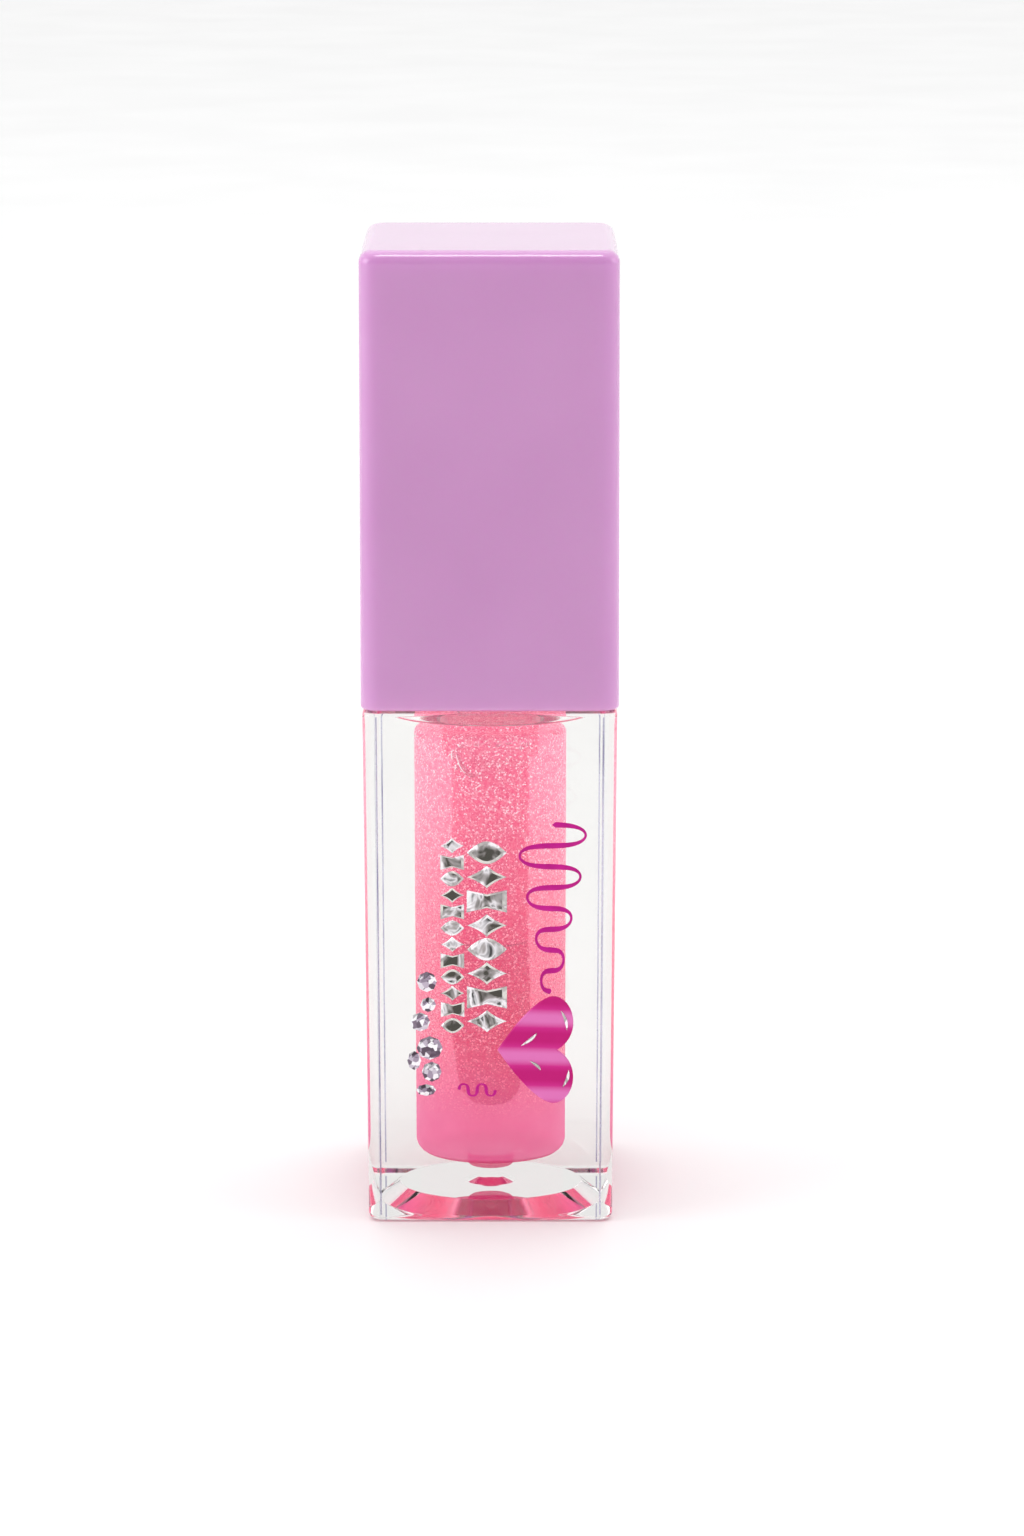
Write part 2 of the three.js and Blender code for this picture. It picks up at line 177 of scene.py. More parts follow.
def mesh_object(name, points, faces, material, smooth=True):
    """An object from millimetre points, its faces turned outwards."""
    mesh = bpy.data.meshes.new(name)
    mesh.from_pydata([p * MM for p in points], [], faces)
    work = bmesh.new()
    work.from_mesh(mesh)
    bmesh.ops.recalc_face_normals(work, faces=work.faces)
    work.to_mesh(mesh)
    work.free()
    if smooth:
        mesh.shade_smooth()
        mesh.set_sharp_from_angle(angle=SHARP)
    piece = bpy.data.objects.new(name, mesh)
    bpy.context.scene.collection.objects.link(piece)
    mesh.materials.append(material)
    return piece


def skin_faces(rings, loop=False):
    """The points and faces of a skin over rings; a ring of one point closes an end."""
    points, faces, starts = [], [], []
    for ring in rings:
        starts.append(len(points))
        points += ring
    pairs = list(zip(range(len(rings)), range(1, len(rings))))
    if loop:
        pairs.append((len(rings) - 1, 0))
    for a, b in pairs:
        count = max(len(rings[a]), len(rings[b]))
        for i in range(count):
            j = (i + 1) % count
            low = [starts[a]] if len(rings[a]) == 1 else [starts[a] + i, starts[a] + j]
            high = [starts[b]] if len(rings[b]) == 1 else [starts[b] + j, starts[b] + i]
            faces.append(low + high)
    return points, faces


def skin(name, rings, material, loop=False, smooth=True):
    points, faces = skin_faces(rings, loop)
    return mesh_object(name, points, faces, material, smooth)


def turned(name, profile, material, loop=False, count=120):
    angles = even_angles(count)
    return skin(name, [round_ring(r, z, angles) for r, z in profile], material, loop)


def stands_for(piece, body, slot, *nodes):
    """Hangs a piece on its body and hides the CAD nodes that it takes the place of."""
    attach(piece, body)
    if nodes:
        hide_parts(*nodes)
    return piece


# ---------------------------------------------------------------- material helpers


def colour(r, g, b):
    """A linear colour from 0 to 255 display values."""
    def linear(v):
        v /= 255
        return v / 12.92 if v <= 0.04045 else ((v + 0.055) / 1.055) ** 2.4
    return (linear(r), linear(g), linear(b), 1)


class Shader:
    """A material with one principled shader, and short calls for its nodes."""

    def __init__(self, name, **values):
        self.material = bpy.data.materials.new(name)
        self.material.use_nodes = True
        self.tree = self.material.node_tree
        self.surface = self.tree.nodes["Principled BSDF"]
        self.output = self.tree.nodes["Material Output"]
        for key, value in values.items():
            self.surface.inputs[key.replace("_", " ")].default_value = value

    def node(self, kind, **settings):
        made = self.tree.nodes.new("ShaderNode" + kind)
        for key, value in settings.items():
            if hasattr(made, key):
                setattr(made, key, value)
            else:
                made.inputs[key.replace("_", " ")].default_value = value
        return made

    def link(self, source, target):
        self.tree.links.new(source, target)

    def place(self, scale=(1, 1, 1)):
        """Object coordinates in millimetres, stretched by a scale."""
        coords = self.node("TexCoord")
        mapping = self.node("Mapping")
        mapping.inputs["Scale"].default_value = [s / MM for s in scale]
        self.link(coords.outputs["Object"], mapping.inputs["Vector"])
        return mapping.outputs["Vector"]

    def noise(self, scale, detail=3.0, stretch=(1, 1, 1), **settings):
        made = self.node("TexNoise", Scale=scale, Detail=detail, **settings)
        self.link(self.place(stretch), made.inputs["Vector"])
        return made.outputs["Fac"]

    def ramp(self, source, *stops):
        """A colour ramp; each stop is (position, colour)."""
        made = self.node("ValToRGB")
        ramp = made.color_ramp
        while len(ramp.elements) < len(stops):
            ramp.elements.new(0.5)
        for element, (position, value) in zip(ramp.elements, stops):
            element.position = position
            element.color = value if not isinstance(value, float) else (value, value, value, 1)
        self.link(source, made.inputs["Fac"])
        return made.outputs["Color"]

    def mix(self, factor, first, second):
        made = self.node("Mix", data_type="RGBA")
        for value, socket in ((factor, 0), (first, 6), (second, 7)):
            if isinstance(value, (tuple, float, int)):
                made.inputs[socket].default_value = value
            else:
                self.link(value, made.inputs[socket])
        return made.outputs[2]

    def math(self, operation, first, second=0.0):
        made = self.node("Math", operation=operation)
        for value, socket in ((first, 0), (second, 1)):
            if isinstance(value, (float, int)):
                made.inputs[socket].default_value = value
            else:
                self.link(value, made.inputs[socket])
        return made.outputs[0]

    def height(self):
        """The object's own Z, in millimetres."""
        split = self.node("SeparateXYZ")
        self.link(self.place(), split.inputs[0])
        return split.outputs["Z"]

    def paint(self, source):
        self.link(source, self.surface.inputs["Base Color"])
        return self

    def rough(self, source, low, high):
        span = self.node("MapRange", To_Min=low, To_Max=high)
        self.link(source, span.inputs["Value"])
        self.link(span.outputs["Result"], self.surface.inputs["Roughness"])
        return self

    def bump(self, source, depth):
        """Relief of a given depth in millimetres."""
        made = self.node("Bump", Strength=1.0, Distance=depth * MM)
        self.link(source, made.inputs["Height"])
        self.link(made.outputs["Normal"], self.surface.inputs["Normal"])
        return self


# ---------------------------------------------------------------- materials


def clear_plastic():
    s = Shader("clear_plastic", Base_Color=(0.81, 0.806, 0.792, 1), Roughness=0.0, IOR=1.5,
               Transmission_Weight=1.0)
    return s.bump(s.noise(0.35, 2), 0.004).material


def painted_edge_line():
    """A faint, dark, frosted line painted where a flat meets a round corner: painted shade standing in
    for the dark reflections along the bottle's edges.
    """
    s = Shader("painted_edge_line", IOR=1.5, Transmission_Weight=1.0)
    s.paint(s.ramp(s.noise(0.25, 2, (1, 1, 0.6)), (0.35, colour(84, 80, 122)),
                   (0.65, colour(170, 166, 196))))
    return s.rough(s.noise(1.5, 3), 0.15, 0.4).material


def wetted_wall():
    """The wall where oil or the wiper touches it: no air gap is left to bend light."""
    s = Shader("wetted_wall")
    clear = s.node("BsdfTransparent")
    s.link(clear.outputs[0], s.output.inputs["Surface"])
    return s.material


def lilac_plastic():
    s = Shader("lilac_plastic", IOR=1.5, Subsurface_Weight=0.75, Subsurface_Scale=0.003,
               Coat_Weight=0.8, Coat_Roughness=0.22, Coat_IOR=1.7)
    s.surface.inputs["Subsurface Radius"].default_value = (0.8, 1.0, 0.9)
    cloud = s.noise(0.05, 2)
    s.paint(s.ramp(cloud, (0.3, colour(203, 136, 197)), (0.7, colour(210, 146, 204))))
    s.rough(s.noise(1.5, 4), 0.09, 0.14)
    return s.bump(s.noise(3, 2), 0.0004).material


def glitter_oil():
    """Pink oil: a volume that absorbs, under a faint skin of haze and glitter.

    The skin glows a little, in place of the light that glitter scatters inside real oil.
    """
    s = Shader("glitter_oil", Roughness=0.35, IOR=1.4)
    cells = s.node("TexVoronoi", Scale=9.0)
    s.link(s.place(), cells.inputs["Vector"])
    split = s.node("SeparateColor")
    s.link(cells.outputs["Color"], split.inputs[0])
    glitter = s.ramp(split.outputs[0], (0.0, colour(244, 92, 150)), (0.5, colour(254, 146, 182)),
                     (0.85, colour(255, 190, 210)), (1.0, colour(255, 235, 242)))
    level = s.node("MapRange", From_Min=8.0, From_Max=15.0)
    s.link(s.math("ADD", s.height(), s.noise(0.5, 2)), level.inputs["Value"])
    smooth = s.ramp(s.noise(0.3, 2), (0.3, colour(224, 92, 152)), (0.7, colour(228, 104, 160)))
    deep = s.node("MapRange", From_Min=34.0, From_Max=21.0, To_Max=0.55)
    s.link(s.height(), deep.inputs["Value"])
    rich = s.mix(deep.outputs[0], glitter, colour(226, 44, 104))
    tint = s.mix(level.outputs[0], smooth, rich)
    # Painted shade: the oil turns a deeper, darker magenta just above the chamber's floor.
    base = s.node("MapRange", From_Min=BORE_FLOOR_Z + 0.5, From_Max=BORE_FLOOR_Z + 0.2)
    s.link(s.height(), base.inputs["Value"])
    tint = s.mix(base.outputs[0], tint, colour(196, 24, 104))
    s.paint(tint)
    s.link(tint, s.surface.inputs["Emission Color"])
    s.surface.inputs["Emission Strength"].default_value = 0.68
    haze = s.ramp(split.outputs[0], (0.0, 0.46), (0.8, 0.5), (0.93, 0.85))
    s.link(s.mix(level.outputs[0], (0.6, 0.6, 0.6, 1), haze), s.surface.inputs["Alpha"])
    s.surface.inputs["Specular IOR Level"].default_value = 0.0
    body = s.node("VolumeAbsorption", Density=68.0)
    body.inputs["Color"].default_value = (0.99, 0.14, 0.38, 1)
    s.link(body.outputs[0], s.output.inputs["Volume"])
    return s.material


def glitter_flake():
    s = Shader("glitter_flake", Metallic=0.4, Roughness=0.25)
    island = s.node("NewGeometry")
    tint = s.ramp(island.outputs["Random Per Island"],
                  (0.0, colour(240, 90, 140)), (0.45, colour(252, 160, 186)),
                  (0.75, colour(226, 180, 232)), (1.0, colour(255, 250, 250)))
    s.paint(tint)
    # Painted light: the flakes glow a little in their own colours.
    s.link(tint, s.surface.inputs["Emission Color"])
    s.surface.inputs["Emission Strength"].default_value = 0.3
    return s.material


def air_bubble():
    """Air in oil, which bends light the other way."""
    s = Shader("air_bubble", Roughness=0.0, IOR=0.69, Transmission_Weight=1.0)
    return s.bump(s.noise(2, 2), 0.002).material


def stem_plastic():
    s = Shader("stem_plastic", Roughness=0.3)
    s.paint(s.ramp(s.noise(0.2, 2), (0.3, colour(244, 118, 166)), (0.7, colour(250, 130, 176))))
    return s.bump(s.noise(5, 3), 0.002).material


def flock():
    s = Shader("flocked_tip", Roughness=0.9, Sheen_Weight=0.6)
    fibres = s.noise(14, 4, (1, 1, 0.4))
    s.paint(s.ramp(fibres, (0.35, colour(232, 100, 150)), (0.65, colour(252, 152, 188))))
    return s.bump(fibres, 0.08).material


def milky_plastic():
    s = Shader("milky_plastic", Roughness=0.45, Subsurface_Weight=0.3, Subsurface_Scale=0.001)
    s.paint(s.ramp(s.noise(0.4, 2), (0.3, colour(232, 226, 230)), (0.7, colour(244, 240, 243))))
    return s.bump(s.noise(6, 3), 0.003).material


def wiper_plastic():
    """The wiper, with a painted glow where the neck covers it, standing in for the light that its milky
    wall scatters.
    """
    s = Shader("wiper_plastic", Roughness=0.45)
    tint = s.ramp(s.noise(0.4, 2), (0.3, colour(252, 160, 188)), (0.7, colour(254, 180, 202)))
    s.paint(tint)
    s.link(tint, s.surface.inputs["Emission Color"])
    above = s.node("MapRange", From_Min=WETTED_TO_Z - 0.2, From_Max=WETTED_TO_Z, To_Max=0.62)
    below = s.node("MapRange", From_Min=NECK_TOP_Z - 0.1, From_Max=NECK_TOP_Z - 0.7)
    for span in (above, below):
        s.link(s.height(), span.inputs["Value"])
    s.link(s.math("MULTIPLY", above.outputs[0], below.outputs[0]), s.surface.inputs["Emission Strength"])
    return s.bump(s.noise(6, 3), 0.003).material


def foam():
    s = Shader("foam_seal", Roughness=0.85)
    cells = s.noise(10, 4)
    s.paint(s.ramp(cells, (0.35, colour(225, 222, 218)), (0.6, colour(248, 246, 242))))
    return s.bump(cells, 0.03).material


def silver_foil(name, dark, light):
    """Foil with painted reflections: soft dark and bright streaks in its colour, as its mirror would
    pick up.
    """
    s = Shader(name, Metallic=0.7, Roughness=0.22)
    reflection_streak = s.noise(0.55, 3, (1.0, 1.0, 0.7), Distortion=1.4)
    s.paint(s.ramp(reflection_streak, (0.4, colour(dark, dark - 2, dark - 8)), (0.5, colour(170, 164, 164)),
                   (0.56, colour(light, light - 4, light)), (0.66, colour(dark, dark, dark))))
    return s.bump(s.noise(4, 3), 0.004).material


def magenta_ink():
    s = Shader("magenta_ink", Roughness=0.3, Specular_IOR_Level=0.2)
    s.paint(s.ramp(s.noise(0.6, 2), (0.35, colour(190, 8, 132)), (0.65, colour(208, 22, 148))))
    return s.bump(s.noise(8, 3), 0.002).material


def satin_magenta():
    """Soft light and dark bands, as on folded satin."""
    s = Shader("satin_magenta", Roughness=0.4, Specular_IOR_Level=0.25)
    bands = s.node("TexWave", Scale=0.1, Distortion=2.2, Detail=1.0)
    bands.bands_direction = "Z"
    bands.inputs["Detail Scale"].default_value = 0.3
    s.link(s.place((1, 1, 1)), bands.inputs["Vector"])
    s.paint(s.ramp(bands.outputs["Fac"], (0.1, colour(204, 0, 122)), (0.5, colour(218, 34, 144)),
                   (0.95, colour(238, 122, 196))))
    return s.material


def rhinestone():
    s = Shader("rhinestone", Metallic=0.85, Roughness=0.06)
    # Painted reflection: each cell gets a grey from dark to white, standing in for what a cut stone's
    # facets reflect.
    facets = s.node("TexVoronoi", Scale=2.6)
    s.link(s.place(), facets.inputs["Vector"])
    split = s.node("SeparateColor")
    s.link(facets.outputs["Color"], split.inputs[0])
    s.paint(s.ramp(split.outputs[0], (0.1, colour(96, 82, 96)), (0.45, colour(178, 162, 182)),
                   (0.8, colour(250, 248, 252))))
    return s.material


def white_floor():
    s = Shader("white_floor", Roughness=0.6)
    s.surface.inputs["Specular IOR Level"].default_value = 0.2
    s.paint(s.ramp(s.noise(0.02, 2), (0.3, colour(250, 250, 250)), (0.7, colour(254, 254, 254))))
    return s.material


# ---------------------------------------------------------------- the bottle

# The third material paints dark lines where the flats meet the round corners: painted shade.
WET_SLOT, EDGE_LINE_SLOT = 1, 2      # the bottle's second and third materials


def threaded(rings):
    """Raises the neck's screw thread out of the plain neck wall."""
    run_in = 8      # the thread fades in over an eighth of its length, and out again
    for ring in rings:
        for p in ring:
            reach = math.hypot(p.x, p.y)
            if abs(reach - NECK_R) > 1e-4:
                continue
            angle = math.atan2(p.y, p.x) % (2 * math.pi)
            rise = 0.0
            for turn in range(int(THREAD_TURNS) + 1):
                share = (turn + angle / (2 * math.pi)) / THREAD_TURNS
                if share > 1:
                    continue
                away = abs(p.z - THREAD_START_Z - share * THREAD_TURNS * THREAD_PITCH)
                flank = (THREAD_ROOT_HALF - away) / (THREAD_ROOT_HALF - THREAD_CREST_HALF)
                fade = min(1, share * run_in, (1 - share) * run_in)
                rise = max(rise, min(1, max(0, flank)) * fade)
            grown = 1 + rise * (THREAD_CREST_R - NECK_R) / NECK_R
            p.x *= grown
            p.y *= grown
    return rings


def mark_painted_edge_lines(piece, slot):
    """Gives the narrow strips between the flats and the round corners a material of their own, which
    paints dark lines there as painted shade.
    """
    points = piece.data.vertices
    widest = 0.15 * MM
    nearest, farthest = (BODY_CORNER_R - 0.2) * MM, (BODY_CORNER_R + 0.1) * MM
    for face in piece.data.polygons:
        heights = [points[i].co.z for i in face.vertices]
        tall = max(heights) - min(heights)
        narrow = tall > BODY_HEIGHT * MM / 2 and face.area < tall * widest
        from_corner = abs(abs(face.center.x) - abs(face.center.y))
        if narrow and nearest < from_corner < farthest:
            face.material_index = slot


def foot_profile():
    """From the axis out: the gate's dimple, the recess's ceiling and its sloped wall."""
    return rounded([
        (0, RECESS_DEPTH + GATE_DEPTH),
        (GATE_R * 0.5, RECESS_DEPTH + GATE_DEPTH * 0.8, 0.6),
        (GATE_R, RECESS_DEPTH, 0.3),
        (RECESS_R, RECESS_DEPTH, 0.1),
        (RECESS_RIM_R, 0, 0.1),
        (RECESS_RIM_R + 0.03, 0),
    ])


def wall_profile():
    """The square outside, from the foot up to the rim that the cap sits over."""
    return rounded([
        (FOOT_HALF - FOOT_EDGE_R - 0.05, 0),
        (FOOT_HALF, 0, FOOT_EDGE_R),
        (SHOULDER_HALF, BODY_HEIGHT, RIM_EDGE_R),
        (SHOULDER_HALF - RIM_EDGE_R - 0.2, BODY_HEIGHT),
    ], steps=8)


def neck_profile():
    """The well around the neck, then the neck's outside in close rows for the thread."""
    well = rounded([
        (WELL_R + 0.3, BODY_HEIGHT),
        (WELL_R, BODY_HEIGHT, 0.1),
        (WELL_R, WELL_FLOOR_Z, 0.3),
        (NECK_R, WELL_FLOOR_Z, 0.4),
        (NECK_R, THREAD_START_Z - 1),
    ])
    rows, tall = 56, 7.2
    return well + [Vector((NECK_R, THREAD_START_Z - 1 + (k + 1) / rows * tall)) for k in range(rows)]


def mouth_profile():
    """The neck's rim and the first of its bore, above where the wiper seals."""
    return rounded([
        (NECK_R, THREAD_START_Z + 6.4),
        (NECK_R, NECK_TOP_Z, 0.3),
        (NECK_BORE_R, NECK_TOP_Z, 0.3),
        (NECK_BORE_R, NECK_TOP_Z - 0.5),
    ])


def chamber_profile():
    """The neck's bore and the chamber, down to the pip in the chamber's floor."""
    return rounded([
        (NECK_BORE_R, NECK_TOP_Z - 0.6),
        (NECK_BORE_R, BORE_TOP_Z, 0.3),
        (BORE_R, BORE_TOP_Z, 0.6),
        (BORE_R, BORE_FLOOR_Z, BORE_FLOOR_R),
        (PIP_R, BORE_FLOOR_Z, 0.15),
        (PIP_R, BORE_FLOOR_Z - PIP_DEPTH, 0.45),
        (0, BORE_FLOOR_Z - PIP_DEPTH),
    ])


def make_bottle(plastic, wet, edge_line):
    rings = [round_ring(r, z) for r, z in foot_profile()]
    for half, z in wall_profile():
        rings.append(square_ring(half, BODY_CORNER_R - (SHOULDER_HALF - half) * 0.5, z))
    rings += threaded([round_ring(r, z) for r, z in neck_profile()])
    rings += [round_ring(r, z) for r, z in mouth_profile()]
    dry = sum(max(len(a), len(b)) for a, b in zip(rings, rings[1:]))
    rings += [round_ring(r, z) for r, z in chamber_profile()]
    piece = skin("bottle_body", rings, plastic)
    piece.data.materials.append(wet)
    for face in piece.data.polygons[dry:]:
        face.material_index = WET_SLOT
    piece.data.materials.append(edge_line)
    mark_painted_edge_lines(piece, EDGE_LINE_SLOT)
    return stands_for(piece, "bottle", "clear_plastic", "bottle")


def make_oil(material):
    """The oil, a hair wider than the chamber so that its own skin is what is seen."""
    wider = 0.004
    profile = rounded([
        (0, BORE_FLOOR_Z - PIP_DEPTH - wider),
        (PIP_R + wider, BORE_FLOOR_Z - PIP_DEPTH - wider, 0.45),
        (PIP_R + wider, BORE_FLOOR_Z - wider, 0.15),
        (BORE_R + wider, BORE_FLOOR_Z - wider, BORE_FLOOR_R),
        (BORE_R + wider, BORE_TOP_Z + wider, 0.6),
        (NECK_BORE_R + wider, BORE_TOP_Z + wider, 0.3),
        (NECK_BORE_R + wider, WETTED_TO_Z),
        (0, WETTED_TO_Z),
    ])
    piece = turned("lip_oil_fill", profile, material)
    return stands_for(piece, "bottle", "glitter_oil", "lip_oil")


def on_cylinder(reach, angle, z):
    return Vector((reach * math.cos(angle), reach * math.sin(angle), z))


def make_flakes(material, count=12000):
    """Glitter in the oil: small closed plates that lie at every slant, thicker near the top."""
    random.seed(5)
    points, faces = [], []
    highest, innermost, outermost = BORE_TOP_Z - 0.4, STEM_R + 0.3, BORE_R - 0.12
    for _ in range(count):
        share = random.random() ** 0.7
        z = GLITTER_FROM_Z + share * (highest - GLITTER_FROM_Z)
        reach = innermost + (outermost - innermost) * random.random() ** 0.6
        centre = on_cylinder(reach, random.random() * 2 * math.pi, z)
        normal = Vector([random.gauss(0, 1) for _ in range(3)]).normalized()
        side = normal.orthogonal().normalized()
        other = normal.cross(side)
        half = 0.02 + 0.028 * random.random() ** 2
        start = len(points)
        for turn in even_angles(4):
            points.append(centre + (side * math.cos(turn) + other * math.sin(turn)) * half)
        points += [centre + normal * half * 0.25, centre - normal * half * 0.25]
        for i in range(4):
            j = (i + 1) % 4
            faces += [(start + i, start + j, start + 4), (start + j, start + i, start + 5)]
    piece = mesh_object("glitter_flakes", points, faces, material, smooth=False)
    return stands_for(piece, "bottle", "glitter_oil")


# Bearing in degrees, height, half the width and half the height of each bubble.
BUBBLES = [
    (-112, 39.1, 0.5, 0.3), (-119, 38.3, 0.3, 0.62), (-116, 37.3, 0.26, 0.3), (-60, 39.2, 0.55, 0.28),
    (-66, 38.9, 0.3, 0.2), (-100, 39.3, 0.4, 0.22), (-84, 39.2, 0.26, 0.2), (-76, 39.35, 0.5, 0.2),
    (20, 39.1, 0.5, 0.3), (75, 39.2, 0.45, 0.3), (130, 39.0, 0.4, 0.3), (190, 39.2, 0.5, 0.25),
]


def make_bubbles(material):
    """A few flattened bubbles caught under the ceiling of the chamber, just touching its wall."""
    into_wall, levels = 0.07, 12
    for k, (bearing, z, wide, tall) in enumerate(BUBBLES):
        centre = on_cylinder(BORE_R - wide + into_wall, math.radians(bearing), z)
        rings = []
        for i in range(levels + 1):
            turn = i / levels * math.pi
            ring = round_ring(wide * math.sin(turn), -tall * math.cos(turn), even_angles(24))
            rings.append([p + centre for p in ring])
        piece = skin("bubble_%d" % (k + 1), rings, material)
        stands_for(piece, "bottle", "glitter_oil")


def smear_at(t):
    """The smear's path: down the wall from the ceiling, and more and more round it."""
    bearing = math.radians(-117 + 22 * t ** 1.6)
    return on_cylinder(BORE_R - 0.2, bearing, 39.3 - 2.6 * math.sin(t * 1.9))


def make_smear(material, steps=30):
    """A trail of trapped air that curls down the chamber's wall from its ceiling."""
    rings = [[smear_at(0)]]
    for k in range(1, steps):
        t = k / steps
        here = smear_at(t)
        along = (smear_at(t + 0.01) - smear_at(t - 0.01)).normalized()
        out = Vector((here.x, here.y, 0)).normalized()
        side = along.cross(out)
        half = 0.3 * math.sin(math.pi * t) ** 0.6
        rings.append([here + (out * math.cos(a) + side * math.sin(a)) * half for a in even_angles(20)])
    rings.append([smear_at(1)])
    stands_for(skin("air_smear", rings, material), "bottle", "glitter_oil")


def make_wiper(material):
    plug, end, tube = NECK_BORE_R - 0.1, box_mm("wiper")[0].z, ORIFICE_R + 0.37
    top = box_mm("wiper")[1].z
    flange, bend = top - 0.8, BORE_TOP_Z + 1.8
    profile = rounded([
        (plug - 0.35, top - 0.5),
        (plug - 0.3, top, 0.12),
        (NECK_R - 0.15, top, 0.15),
        (NECK_R - 0.15, flange, 0.1),
        (plug, flange, 0.08),
        (plug, bend, 0.3),
        (tube, bend - 1.6, 0.3),
        (tube, end, 0.12),
        (ORIFICE_R, end, 0.06),
        (ORIFICE_R, end + 0.6, 0.05),
        (tube - 0.32, end + 1.2, 0.2),
        (tube - 0.32, bend - 1.4, 0.3),
        (plug - 0.5, bend + 0.4, 0.3),
        (plug - 0.5, flange - 0.4, 0.3),
    ], support=0.005)
    piece = turned("wiper_soft", profile, material, loop=True)
    return stands_for(piece, "bottle", "milky_plastic", "wiper")


def make_gasket(material):
    low, high = box_mm("gasket")
    inner, outer, edge = STEM_R + 0.12, high.x, 0.12
    profile = rounded([
        (outer, (low.z + high.z) / 2),
        (outer, high.z, edge),
        (inner, high.z, edge),
        (inner, low.z, edge),
        (outer, low.z, edge),
    ], support=0.01)
    profile.append(Vector((outer, low.z + 0.2)))
    piece = turned("gasket_foam", profile, material, loop=True)
    return stands_for(piece, "seal", "foam_seal", "gasket")


# ---------------------------------------------------------------- the cap and the wand


def make_cap(material):
    corner = CAP_CORNER_R
    inner_foot, inner_top = CAP_FOOT_HALF - CAP_WALL, CAP_TOP_HALF - CAP_WALL
    inside = rounded([
        (0, CAP_TOP_Z - CAP_ROOF),
        (inner_top, CAP_TOP_Z - CAP_ROOF, 0.4),
        (inner_foot, CAP_FOOT_Z, 0.1),
        (inner_foot + 0.3, CAP_FOOT_Z),
    ])
    outside = rounded([
        (CAP_FOOT_HALF - 0.6, CAP_FOOT_Z),
        (CAP_FOOT_HALF, CAP_FOOT_Z, 0.3),
        (CAP_TOP_HALF, CAP_TOP_Z, CAP_TOP_EDGE_R),
        (0, CAP_TOP_Z),
    ], steps=10)
    rings = []
    for half, z in inside:
        rings.append([Vector((0, 0, z))] if half == 0 else square_ring(half, 0.5, z))
    for half, z in outside:
        inset = CAP_FOOT_HALF - half
        rings.append([Vector((0, 0, z))] if half == 0 else
                     square_ring(half, corner - min(inset, 1.2) * 0.5, z))
    piece = skin("cap_shell_smooth", rings, material)
    return stands_for(piece, "cap", "lilac_plastic", "cap_shell")


def make_stem(material):
    plug_top = STEM_FOOT_Z + 5.3
    profile = rounded([
        (0, plug_top),
        (STEM_SOCKET_R, plug_top, 0.1),
        (STEM_SOCKET_R, STEM_FOOT_Z, 0.05),
        (STEM_R, STEM_FOOT_Z, 0.2),
        (STEM_R, STEM_TOP_Z - 3.2, 0.1),
        (STEM_R + 0.14, STEM_TOP_Z - 2.9, 0.1),
        (STEM_R + 0.14, STEM_TOP_Z - 2.3, 0.1),
        (STEM_R, STEM_TOP_Z - 2.0, 0.1),
        (STEM_R, STEM_TOP_Z, 0.5),
        (0, STEM_TOP_Z),
    ], steps=4, support=0.01)
    piece = turned("wand_stem_smooth", profile, material, count=96)
    return stands_for(piece, "stem", "stem_plastic", "wand_stem")


def make_tip(material):
    """The slanted flocked tip: oval sections that lean back as the front is cut away."""
    top = STEM_FOOT_Z - 0.1
    # Share of the height, then half the width, half the depth and the lean, in the tip's radius.
    sections = [(0.0, 0.25, 0.12, 0.55), (0.03, 0.49, 0.26, 0.47), (0.09, 0.7, 0.4, 0.36),
                (0.2, 0.85, 0.56, 0.24), (0.36, 0.94, 0.73, 0.12), (0.55, 1.0, 0.9, 0.04),
                (0.75, 1.0, 0.97, 0.0), (0.92, 0.97, 0.97, 0.0), (1.0, 0.94, 0.94, 0.0)]
    rings = [[Vector((0, 0.55 * TIP_R, TIP_END_Z))]]
    steps = 60
    random.seed(11)
    for k in range(1, steps + 1):
        share = k / steps
        after = next(i for i, row in enumerate(sections) if row[0] >= share - 1e-9)
        a, b = sections[max(after - 1, 0)], sections[after]
        mix = (share - a[0]) / (b[0] - a[0])
        wide, deep, back = [(p + (q - p) * mix) * TIP_R for p, q in zip(a[1:], b[1:])]
        ring = []
        for angle in even_angles(72):
            fuzz = 1 - 0.03 * random.random()
            ring.append(Vector((wide * fuzz * math.cos(angle), back + deep * fuzz * math.sin(angle),
                                TIP_END_Z + share * (top - TIP_END_Z))))
        rings.append(ring)
    rings += [round_ring(STEM_SOCKET_R - 0.1, z, even_angles(72)) for z in (top, top + 5.0)]
    rings.append([Vector((0, 0, top + 5.0))])
    piece = skin("applicator_tip_flocked", rings, material)
    return stands_for(piece, "cap", "flocked_tip", "applicator_tip")


# ---------------------------------------------------------------- the artwork on the front


def on_face(x, z, out):
    """A point that stands a little out from the front face, which leans with the draft."""
    slope = (SHOULDER_HALF - FOOT_HALF) / BODY_HEIGHT
    return Vector((x, -(FOOT_HALF + slope * z) - out, z))


def plate(name, outlines, material, base=0.02, top=0.08, edge=0.03):
    """Thin raised plates, one for each outline of (x, z) points, as one piece."""
    points, faces = [], []
    for outline in outlines:
        count = len(outline)
        start = len(points)
        inner = []
        for i, p in enumerate(outline):
            along = Vector(outline[(i + 1) % count]) - Vector(outline[i - 1])
            along.normalize()
            inner.append(Vector(p) + Vector((-along.y, along.x)) * edge)
        points += [on_face(x, z, base) for x, z in outline]
        points += [on_face(x, z, top - edge) for x, z in outline]
        points += [on_face(p.x, p.y, top) for p in inner]
        for level in (0, count):
            for i in range(count):
                j = (i + 1) % count
                a = start + level
                faces.append((a + i, a + j, a + count + j, a + count + i))
        faces.append([start + 2 * count + i for i in range(count)])
        faces.append([start + i for i in reversed(range(count))])
    return mesh_object(name, points, faces, material, smooth=False)


